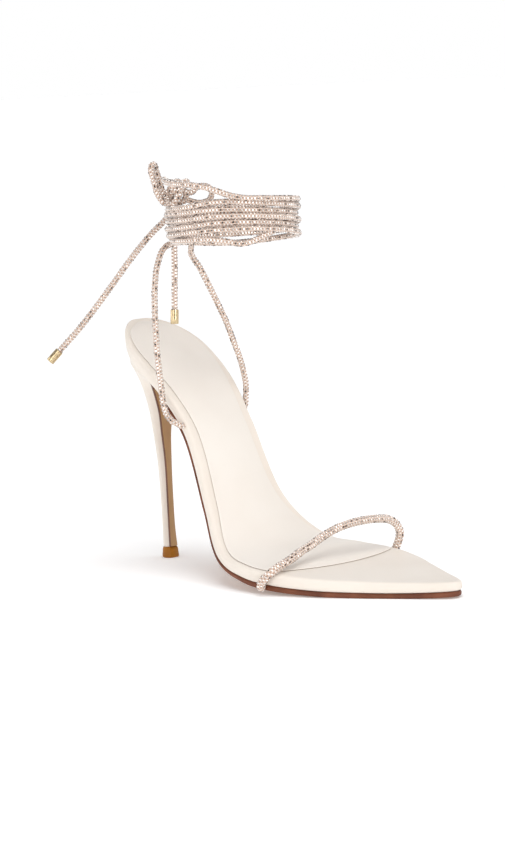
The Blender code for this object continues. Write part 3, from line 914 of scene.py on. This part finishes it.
def make_sock():
    """The sock pad: the board's outline set in, closed in front by a parabola and behind by an arc."""
    stations = round_stations(SOCK_BACK, SOCK_FRONT, SOCK_POINTS)
    front = np.sqrt(np.maximum(SOCK_FRONT - stations, 0) / SOCK_FRONT_CURVE)
    back = np.sqrt(1 - (1 - np.clip((stations - SOCK_BACK) / SOCK_BACK_ROUND, 0, 1)) ** 2)
    inset = through(SOCK_INSETS["x"], SOCK_INSETS["inset"], stations)
    inside = (stations > SOCK_BACK) & (stations < SOCK_FRONT)
    sides = []
    for side in ("lateral", "medial"):
        limits = np.maximum([half_width(stations, side) - inset, front], SOCK_LEAST)
        joined = (limits**-SOCK_CORNER).sum(axis=0) ** (-1 / SOCK_CORNER)
        sides.append(np.where(inside, back * joined, 0))
    points, faces, corner_uv, row = sole_layer(
        Outline(stations, *sides), SOCK_EDGE, flat(SOCK_DROP), flat(SOCK), margin=5, crown=SOCK_CROWN
    )
    # The lower rows of the sock's edge, and its underside, are painted dark brown: partly the cut edge,
    # partly painted shade of the crevice under it
    pad = add_piece(
        "sock_pad", points, faces, [SOCK_SATIN, SOCK_CUT_EDGE_AND_SHADE], corner_uv, "sock", "sock_satin",
        finish=row >= SOCK_EDGE_SHADE_ROW,
    )


def make_outsole():
    """The outsole: a polished, rounded edge, and plain leather underneath."""
    stations = OUTSOLE_START + (LENGTH - OUTSOLE_START) * np.sin(np.linspace(0, math.pi / 2, OUTSOLE_POINTS))
    tuck = OUTSOLE_TUCK * (1 - smooth_step(stations, OUTSOLE_START, OUTSOLE_TUCK_END))
    sides = [half_width(stations, side) - tuck for side in ("lateral", "medial")]
    outline = Outline(stations, *sides, cut_back=True)
    points, faces, corner_uv, row = sole_layer(
        outline, OUTSOLE_EDGE, under("board", SEAM), under("sole"), margin=5
    )
    add_piece(
        "outsole_leather", points, faces, [EDGE_LEATHER, SOLE_LEATHER], corner_uv,
        "outsole", "outsole_leather", sharp_deg=50, finish=row >= row.max() - TOP_ROWS,
    )


# The heel


def heel_ring(back, breast, width, face):
    """A heel section: half an ellipse at the back, sides that close in by a cosine, and a flat breast."""
    middle = back + HEEL_BACK_SHARE * (breast - back)
    turn = np.radians(np.linspace(-90, 90, HEEL_BACK_POINTS))
    close = np.linspace(0, 1, HEEL_SIDE_POINTS)[1:]
    side_x = middle + (breast - middle) * close
    side_y = face / 2 + (width - face) / 2 * np.cos(np.radians(90 * close))
    x = np.concatenate([side_x[..., ::-1], middle - (middle - back) * np.cos(turn), side_x], axis=-1)
    y = np.concatenate([-side_y[..., ::-1], width / 2 * np.sin(turn), side_y], axis=-1)
    return x, y


def heel_rings(sizes, heights):
    """Sections at each height, from a table of sizes smoothed over it, sloped by their lean."""
    size = {name: through(sizes["z"], column, heights)[:, None] for name, column in sizes.items()}
    x, y = heel_ring(*(size[name] for name in ("back", "breast", "width", "face")))
    z = heights[:, None] + size.get("lean", 0) * (x - size["back"])
    return np.stack([x, y, z], axis=-1)


def seat_underside(x):
    """Height of the board's underside under its centre line, read from points half a millimetre apart."""
    stations = np.linspace(0, HEEL_REACH, round(2 * HEEL_REACH) + 1)
    below = on_sole(stations, centre_line(stations), depth_of("board", stations))
    return np.interp(x, below[:, 0], below[:, 2])


def heel_collar():
    """The heel's top line: the satin runs up on to the board's side at the back, and under it by the breast.
    Angles round the middle of the seat pair each point with one on the board's rim."""
    x, y = heel_ring(**HEEL_SEAT)
    seat = np.stack([x, y, seat_underside(x) - SEAM], axis=1)
    angle = np.arctan2(y, COLLAR_MIDDLE - x)
    near = BOARD_OUTLINE.x < COLLAR_REACH
    rim_angle = np.arctan2(BOARD_OUTLINE.y[near], COLLAR_MIDDLE - BOARD_OUTLINE.x[near])
    order = np.argsort(rim_angle)
    rim_x, rim_y = (
        np.interp(angle, rim_angle[order], values[near][order]) for values in BOARD_OUTLINE.rim(COLLAR_INSET)
    )
    side = on_sole(rim_x, rim_y, SOCK + COLLAR_DOWN * (depth_of("board", rim_x) - SOCK))
    share = 1 - smooth_step(np.abs(angle), *np.radians(COLLAR_FADE_DEG))
    return seat + (side - seat) * share[:, None]


def closed_ends(rings):
    """Rings with both ends closed to a point in the middle."""
    ends = [np.broadcast_to(rings[k].mean(axis=0), rings[k].shape) for k in (0, -1)]
    return np.concatenate([ends[:1], rings, ends[1:]])


def closed_stack(rings):
    """Rings from the bottom up as a closed grid, mapped by the run round its middle and up its back."""
    points = closed_ends(rings)
    faces, row, column = grid(len(points), points.shape[1], round_columns=True)
    up = run_of(points[:, points.shape[1] // 2])
    around = run_of(ring(points[len(points) // 2]))
    corner_uv = np.stack([around[column], up[row]], -1)
    return points.reshape(-1, 3), faces.tolist(), corner_uv


def make_heel():
    """The heel: sections up the shaft, a flare from the last one to the collar, and a foot drawn in. The
    breast's cover follows the same sections."""
    shaft = heel_rings(HEEL, np.linspace(HEEL["z"][0], HEEL["z"][-1], HEEL_RINGS))
    rise = np.linspace(0, 1, FLARE_RINGS)[1:, None, None]
    flare = np.concatenate([rise**FLARE_POWER, rise**FLARE_POWER, rise], axis=2)
    top = shaft[-1] + (heel_collar() - shaft[-1]) * flare
    foot = shaft[:1].copy()
    foot[0, :, :2] += (foot[0, :, :2].mean(axis=0) - foot[0, :, :2]) * FOOT_DRAW
    foot[0, :, 2] -= FOOT_DROP
    points, faces, corner_uv = closed_stack(np.concatenate([foot, shaft, top]))
    add_piece("heel_satin", points, faces, [SATIN], corner_uv, "heel", "satin", sharp_deg=55)
    make_breast(np.concatenate([shaft, top]))


def make_breast(rings):
    """The breast's leather cover: a strip down the flat of the heel, crowned a little, with painted edges.
    Its profile is carried along the corner of the rings, square to it."""
    corner = rings[:, -1]
    line = corner[:, [0, 2]]
    along = unit(np.gradient(line, axis=0))
    out = np.stack([along[:, 1], -along[:, 0]], axis=1)
    half = corner[:, 1] + BREAST_OVERHANG
    across = np.r_[BREAST_PROFILE["across"], -BREAST_PROFILE["across"][-2:0:-1]]
    height = np.r_[BREAST_PROFILE["out"], BREAST_PROFILE["out"][-2:0:-1]] * BREAST_COVER - SEAM
    plan = line[:, None, :] + out[:, None, :] * height[None, :, None]
    side = half[:, None] * across[None, :]
    points = closed_ends(np.stack([plan[..., 0], side, plan[..., 1]], axis=-1))
    faces, row, column = grid(len(points), points.shape[1], round_columns=True)
    corner_uv = np.stack([column * 1.0, run_of(points[:, 0])[row]], -1)
    add_piece(
        "breast_cover_leather", points.reshape(-1, 3), faces.tolist(), [BREAST_LEATHER, BREAST_PAINT],
        corner_uv, "breast_cover", "breast_leather", sharp_deg=50,
        finish=np.isin(column[:, 0], PAINTED_STRIPS),
    )


def make_lift():
    """The lift: stacked sections, closer together where its edges are rounded."""
    heights = np.unique(np.concatenate([np.linspace(*stretch) for stretch in LIFT_STRETCHES]))
    points, faces, corner_uv = closed_stack(heel_rings(LIFT, heights))
    add_piece("lift", points, faces, [LIFT_PLASTIC], corner_uv, "top_lift", "lift_rubber", sharp_deg=60)


# Cords


def round_ankle(angle_deg, radius, level):
    """Points round the ankle at an angle from the toe's direction, on the wrap's tilted plane."""
    angle = np.radians(angle_deg)
    x, y = radius * np.cos(angle), radius * np.sin(angle)
    z = level + WRAP_TILT[0] * x + WRAP_TILT[1] * y
    return np.stack([WRAP_CENTRE[0] + x, WRAP_CENTRE[1] + y, z], -1)


def at_height(rows):
    """A table of angles, radial offsets and true heights round the ankle, as points."""
    points = round_ankle(rows["angle"], WRAP_RADIUS + rows["outset"], 0 * rows["z"])
    points[:, 2] = rows["z"]
    return points


def lateral_route():
    """The lateral tie: its riser, a coil whose turns draw together over the instep, and a lead to the knot.
    Turns lie out and in by turns and lean up to the toe side, the upper ones more, and the first hangs a
    little slack on the medial side. The last passes outside the one below it."""
    turns = np.arange(1, round(WRAP_TURNS * POINTS_PER_TURN)) / POINTS_PER_TURN
    angle = WRAP_START_DEG - 360 * turns
    ending = smooth_step(turns, WRAP_TURNS - WRAP_SETTLE, WRAP_TURNS)
    settle = smooth_step(turns, 0, WRAP_SETTLE) * (1 - ending)
    passing = PASSING_OUT * smooth_step(turns, *PASSING)
    passed = PASSED_IN * hump(turns, PASSED_AT, PASSED_REACH)
    outset = WRAP_LOOSE * settle * np.sin(math.pi * turns + WRAP_LOOSE_PHASE) + passing - passed
    first_angle = WRAP_LEAN["angle"][0]
    lean = through(WRAP_LEAN["angle"], WRAP_LEAN["rise"], (angle - first_angle) % 360 + first_angle)
    upper = LOWER_LEAN + (1 - LOWER_LEAN) * smooth_step(turns, *LEAN_FULL)
    held = smooth_step(turns, *LEAN_START) * (1 - smooth_step(turns, *LEAN_END))
    slack = SLACK * hump(turns, SLACK_AT, SLACK_REACH)
    sway = WRAP_SWAY * settle * np.sin(WRAP_SWAY_RATE * math.pi * turns) - slack + lean * upper * held
    pinch = WRAP_PINCH * np.maximum(np.cos(np.radians(angle - WRAP_PINCH_DEG)), 0) ** 2
    level = WRAP_MIDDLE + (WRAP_PITCH - pinch) * (turns - WRAP_TURNS / 2)
    coil = round_ankle(angle, WRAP_RADIUS + outset, level + sway)
    return np.concatenate([LATERAL_RISER, coil, at_height(TOP_LEAD)])


def from_ankle(points):
    """Level directions out from the ankle's axis."""
    out = points - np.array([*WRAP_CENTRE, 0.0])
    out[:, 2] = 0
    return unit(out)


def square_to_loop(points):
    """One direction square to the flat that a bent cord lies in most nearly."""
    centred = points - points.mean(axis=0)
    return np.broadcast_to(np.linalg.svd(centred, full_matrices=False)[2][2], points.shape)


class Cord:
    """A cord's centre line with two directions square to it at each point, the first nearest a reference."""

    def __init__(self, points, reference, closed=False):
        self.points = points
        self.closed = closed
        if closed:
            along = np.roll(points, -1, axis=0) - np.roll(points, 1, axis=0)
        else:
            along = np.gradient(points, axis=0)
        self.along = unit(along)
        reference = np.broadcast_to(reference, points.shape)
        self.out = unit(reference - (reference * self.along).sum(axis=1, keepdims=True) * self.along)
        self.side = np.cross(self.along, self.out)
        self.run = run_of(ring(points) if closed else points)

    def at(self, run, values):
        """A value of each point, read at distances along the cord."""
        values = ring(values) if self.closed else values
        return np.stack([np.interp(run, self.run, column) for column in values.T], axis=1)


def net_tube(cord, radius, rows, pitch, sides):
    """A tube round a cord: circles carried along it, drawn in to a round end where it isn't a closed ring.
    Its map counts stones: along the run, half a step on from row to row, and round the turn."""
    turn = full_turn(sides)[None, :, None]
    run = cord.run[: len(cord.points)]
    close = np.minimum(run, run[-1] - run) / radius
    shrink = np.ones(len(run)) if cord.closed else np.sqrt(1 - (1 - np.clip(close, 0, 1)) ** 2)
    circle = np.cos(turn) * cord.out[:, None] + np.sin(turn) * cord.side[:, None]
    points = cord.points[:, None] + radius * shrink[:, None, None] * circle
    faces, row, column = grid(len(points), sides, round_rows=cord.closed, round_columns=True)
    around = column * rows / sides
    corner_uv = np.stack([cord.run[row] / pitch - around / 2, around], -1)
    return points.reshape(-1, 3), faces, corner_uv


def stones(cord, radius, rows, pitch, first_point, draw):
    """Stones over a tube: six-sided cuts with a flat table and a pointed back, set in staggered rows.
    Each is turned and tipped a little by a seeded draw."""
    margin = 0 if cord.closed else BARE_END
    steps = np.arange(math.floor(cord.run[-1] / pitch))
    step, row = [part.ravel() for part in np.meshgrid(steps, np.arange(rows), indexing="ij")]
    run = (step + 0.5 + (row % 2) / 2) * pitch
    kept = (run > margin) & (run < cord.run[-1] - margin) | cord.closed
    run, row = run[kept] % cord.run[-1], row[kept]
    turn = (2 * math.pi * row / rows)[:, None]
    out, side, along = (unit(cord.at(run, values)) for values in (cord.out, cord.side, cord.along))
    up = np.cos(turn) * out + np.sin(turn) * side
    across = np.cos(turn) * side - np.sin(turn) * out
    tip = draw.normal(0, STONE_TIP, (2, len(run), 1))
    seat = cord.at(run, cord.points) + up * (radius + STONE_LIFT)
    up = unit(up + tip[0] * across + tip[1] * along)
    spin = draw.uniform(0, 2 * math.pi / STONE_SIDES, (len(run), 1)) + full_turn(STONE_SIDES)
    rim = across[:, None] * np.cos(spin)[..., None] + along[:, None] * np.sin(spin)[..., None]
    girdle = seat[:, None] + STONE_RADIUS * rim
    cut = seat[:, None] + TABLE_RADIUS * rim + STONE_RISE * up[:, None]
    back = (seat - STONE_BACK * up)[:, None]
    points = np.concatenate([cut, girdle, back], axis=1)
    corner = np.arange(STONE_SIDES)
    after = (corner + 1) % STONE_SIDES
    crown = np.stack([corner, corner + STONE_SIDES, after + STONE_SIDES, after], axis=1)
    point = np.full(STONE_SIDES, STONE_POINTS - 1)
    pavilion = np.stack([corner + STONE_SIDES, point, after + STONE_SIDES], axis=1)
    start = first_point + STONE_POINTS * np.arange(len(run))[:, None]
    tables = (start + corner).tolist()
    crowns = (start[:, :, None] + crown).reshape(-1, 4).tolist()
    backs = (start[:, :, None] + pavilion).reshape(-1, 3).tolist()
    return points.reshape(-1, 3), tables + crowns + backs


def stone_glint(count, draw):
    """The share of painted light of each facet, tables first, then crowns and backs: mostly its stone's own
    draw.
    """
    stone = np.arange(count)
    stone = np.r_[stone, np.repeat(stone, STONE_SIDES), np.repeat(stone, STONE_SIDES)]
    own = draw.uniform(0, 1, count)[stone]
    return PAINTED_GLINT_OF_STONE * own + (1 - PAINTED_GLINT_OF_STONE) * draw.uniform(0, 1, len(stone))


def add_stone_cord(name, cords, node, radius=TIE_RADIUS, rows=TIE_ROWS, sides=BOW_SIDES):
    """One piece of net cord: each centre line's tube with its stones."""
    draw = np.random.default_rng(SEEDS[name])
    points, faces, corner_uv, finish, glint = [], [], [], [], []
    for cord in cords:
        pitch = STONE_PITCH
        if cord.closed:
            pitch = cord.run[-1] / round(cord.run[-1] / STONE_PITCH)
        start = sum(map(len, points))
        tube, tube_faces, tube_uv = net_tube(cord, radius, rows, pitch, sides)
        gems, gem_faces = stones(cord, radius, rows, pitch, start + len(tube), draw)
        points += [tube, gems]
        faces += (tube_faces + start).tolist() + gem_faces
        corner_uv += [tube_uv.reshape(-1, 2), np.zeros((sum(map(len, gem_faces)), 2))]
        finish += [np.zeros(len(tube_faces)), np.ones(len(gem_faces))]
        glint += [np.zeros(len(tube_faces)), stone_glint(len(gems) // STONE_POINTS, draw)]
    finish = np.concatenate(finish)
    return add_piece(
        name, np.concatenate(points), faces, [NET, STONES], np.concatenate(corner_uv), node, "stone_cord",
        finish=finish, smooth=finish == 0, glint=np.concatenate(glint),
    )


def make_straps():
    """The toe strap, and the two ties round the ankle as one piece."""
    strap = Cord(smooth_run(TOE_STRAP_ROUTE, STRAP_SPACING), (1.0, 0, 0))
    add_stone_cord("toe_strap_cord", [strap], "toe_strap", STRAP_RADIUS, STRAP_ROWS, STRAP_SIDES)
    medial_route = np.concatenate([MEDIAL_RISER, at_height(LOOSE_TURN)])
    ties = [smooth_run(route, TIE_SPACING) for route in (lateral_route(), medial_route)]
    cords = [Cord(points, from_ankle(points)) for points in ties]
    add_stone_cord("ankle_tie_cord", cords, "ankle_tie", sides=TIE_SIDES)


def knot_curve():
    """An overhand knot: a trefoil, its thin side turned to the back of the ankle."""
    t = full_turn(KNOT_POINTS)
    across = KNOT_SIZE * (np.sin(t) + 2 * np.sin(2 * t))
    height = KNOT_SIZE * (np.cos(t) - 2 * np.cos(2 * t))
    depth = KNOT_DEPTH * -np.sin(3 * t)
    return np.asarray(KNOT_CENTRE) + np.stack([depth, across, height], axis=1)


def knot_wrap():
    """The turn drawn round the knot's side: an ellipse, its long way slanting down to the lateral side."""
    t = full_turn(KNOT_WRAP_POINTS)[:, None]
    deep, wide = KNOT_WRAP
    middle = np.asarray(KNOT_CENTRE) + np.array(KNOT_WRAP_OFFSET)
    slant = unit(np.array(KNOT_WRAP_SLANT))
    return middle + deep * np.cos(t) * np.array([1.0, 0, 0]) + wide * np.sin(t) * slant


def add_free_cord(name, route, node, run_on=0.0):
    """A cord of the bow, from the knot outwards, run on straight past its route's end when run_on is given.
    """
    points = smooth_run(route, BOW_SPACING)
    if run_on:
        along = unit(points[-1] - points[-2])
        more = np.linspace(0, run_on, 3)[1:, None]
        points = np.concatenate([points, points[-1] + along * more])
    piece = add_stone_cord(name, [Cord(points, square_to_loop(points))], node)


def add_ferrule(name, route, node):
    """A cord tip: its profile turned round the end of a cord's route, straight on from it."""
    points = smooth_run(route, BOW_SPACING)
    along = unit(points[-1] - points[-2])
    start = points[-1] + along * FERRULE_GAP
    turn = full_turn(FERRULE_SIDES)[:, None]
    side = unit(np.cross(along, (0, 1, 0)))
    circle = np.cos(turn) * side + np.sin(turn) * np.cross(along, side)
    radius = FERRULE_RADIUS * FERRULE["radius"]
    points = start + FERRULE["run"][:, None, None] * along + radius[:, None, None] * circle
    faces, row, column = grid(len(radius), FERRULE_SIDES, round_columns=True)
    around = column * 2 * math.pi * FERRULE_RADIUS / FERRULE_SIDES
    corner_uv = np.stack([FERRULE["run"][row], around], -1)
    return add_piece(
        name, points.reshape(-1, 3), faces.tolist(), [GOLD], corner_uv, node, "gold", sharp_deg=35
    )


def make_bow():
    """The bow: its knot with a turn drawn round it, two loops, and two ends in their tips."""
    knot = knot_curve()
    out = knot - np.asarray(KNOT_CENTRE)
    out[:, 0] = 0
    wrap = knot_wrap()
    turns = [Cord(knot, unit(out), closed=True), Cord(wrap, square_to_loop(wrap), closed=True)]
    add_stone_cord("bow_knot", turns, "tie_knot")
    for way, route in (("up", LOOP_UP_ROUTE), ("side", LOOP_SIDE_ROUTE)):
        add_free_cord(f"bow_loop_{way}", route, f"tie_loop_{way}")
    for length, route, stiffness, lay in (
        ("long", LONG_END_ROUTE, "stiff", "taut"),
        ("short", SHORT_END_ROUTE, "medium", "hanging"),
    ):
        tip = add_ferrule(f"cord_tip_{length}", route, f"ferrule_{length}")
        add_free_cord(
            f"bow_end_{length}", route, f"tie_end_{length}", RUN_INTO_TIP
        )


# Studio


def set_up(name, data, place, back, right):
    """A camera or lamp at a place, looking away from back, with right to its right hand."""
    made = bpy.data.objects.new(name, data)
    matrix = np.eye(4)
    matrix[:3, :3] = np.stack([right, np.cross(back, right), back], axis=1)
    matrix[:3, 3] = place
    made.matrix_world = matrix.T.tolist()
    bpy.context.scene.collection.objects.link(made)
    return made


def make_camera():
    """The photograph's view: from its azimuth and elevation, rolled a little, the picture's centre moved, and
    its tones plain."""
    azimuth, elevation, roll = (math.radians(d) for d in (AZIMUTH_DEG, ELEVATION_DEG, ROLL_DEG))
    level = math.cos(elevation)
    back = np.array([math.sin(azimuth) * level, -math.cos(azimuth) * level, math.sin(elevation)])
    right = np.array([math.cos(azimuth), math.sin(azimuth), 0])
    rolled = math.cos(roll) * right + math.sin(roll) * np.cross(back, right)
    width, height = PHOTO_SIZE
    data = bpy.data.cameras.new("photo_camera")
    data.sensor_fit = "VERTICAL"
    data.sensor_height = SENSOR
    data.lens = FOCAL_PX * SENSOR / height
    data.shift_x = (width / 2 - PRINCIPAL_PX[0]) / height
    data.shift_y = (PRINCIPAL_PX[1] - height / 2) / height
    data.clip_start = 0.05
    place = in_frame(np.array(TARGET) + back * DISTANCE)
    bpy.context.scene.camera = set_up("photo_camera", data, place, back, rolled)
    bpy.context.scene.view_settings.view_transform = "Standard"


def make_floor():
    """A wide white floor that glows a little, so that it stays white to the horizon."""
    mesh = bpy.data.meshes.new("floor")
    corners = [(-1, -1, 0), (1, -1, 0), (1, 1, 0), (-1, 1, 0)]
    mesh.from_pydata((FLOOR_REACH * np.array(corners, float)).tolist(), [], [[0, 1, 2, 3]])
    paper = Finish(
        "white_paper", (0.97, 0.97, 0.97), 0.9,
        Emission_Color=(1, 1, 1, 1), Emission_Strength=0.155, Specular_IOR_Level=0.1,
    )
    mesh.materials.append(paper.material)
    floor = bpy.data.objects.new("floor", mesh)
    bpy.context.scene.collection.objects.link(floor)


def make_walls():
    """White walls round the horizon, a darker ceiling, and a dark gap on one side with a soft edge."""
    world = bpy.data.worlds.new("studio")
    world.use_nodes = True
    walls = Wiring(world.node_tree)
    towards = walls.node("TexCoord", {}).outputs["Generated"]
    height = walls.node("SeparateXYZ", {"Vector": towards}).outputs["Z"]
    ramp = walls.node("ValToRGB", {"Fac": height})
    horizon, shoulder, ceiling = WALLS
    for stop, (position, colour) in zip(ramp.color_ramp.elements, (horizon, ceiling)):
        stop.position, stop.color = position, colour
    ramp.color_ramp.elements.new(shoulder[0]).color = shoulder[1]
    facing = walls.node("VectorMath", {0: towards, 1: DARK_GAP}, operation="DOT_PRODUCT")
    gap = walls.node(
        "MapRange",
        {
            "Value": facing.outputs["Value"],
            "From Min": DARK_GAP_EDGE[0],
            "From Max": DARK_GAP_EDGE[1],
            "To Min": 1.0,
            "To Max": DARK_GAP_LEVEL,
        },
    )
    shaded = walls.node(
        "VectorMath", {"Vector": ramp.outputs["Color"], "Scale": gap.outputs["Result"]}, operation="SCALE"
    )
    walls.feed(walls.tree.nodes["Background"].inputs["Color"], shaded.outputs["Vector"])
    bpy.context.scene.world = world


def make_light():
    """A broad light overhead from the toe, as even as a far one, whose spread softens its shadow, and three
    square soft fills turned to the shoe."""
    key = bpy.data.lights.new("key_light", "SUN")
    key.energy = KEY_STRENGTH
    key.angle = math.radians(KEY_SPREAD_DEG)
    back = unit(np.array(KEY_FROM))
    set_up("key_light", key, (0, 0, 0), back, unit(np.cross((0, 1.0, 0), back)))
    for name, place, size, power in FILLS:
        fill = bpy.data.lights.new(name, "AREA")
        fill.size = size
        fill.energy = power
        back = unit(np.array(place) - np.array(FILLS_AIM))
        set_up(name, fill, place, back, unit(np.cross((0, 0, 1.0), back)))


make_camera()
make_straps()
make_bow()
make_board()
make_sock()
make_outsole()
make_heel()
make_lift()
make_floor()
make_walls()
make_light()
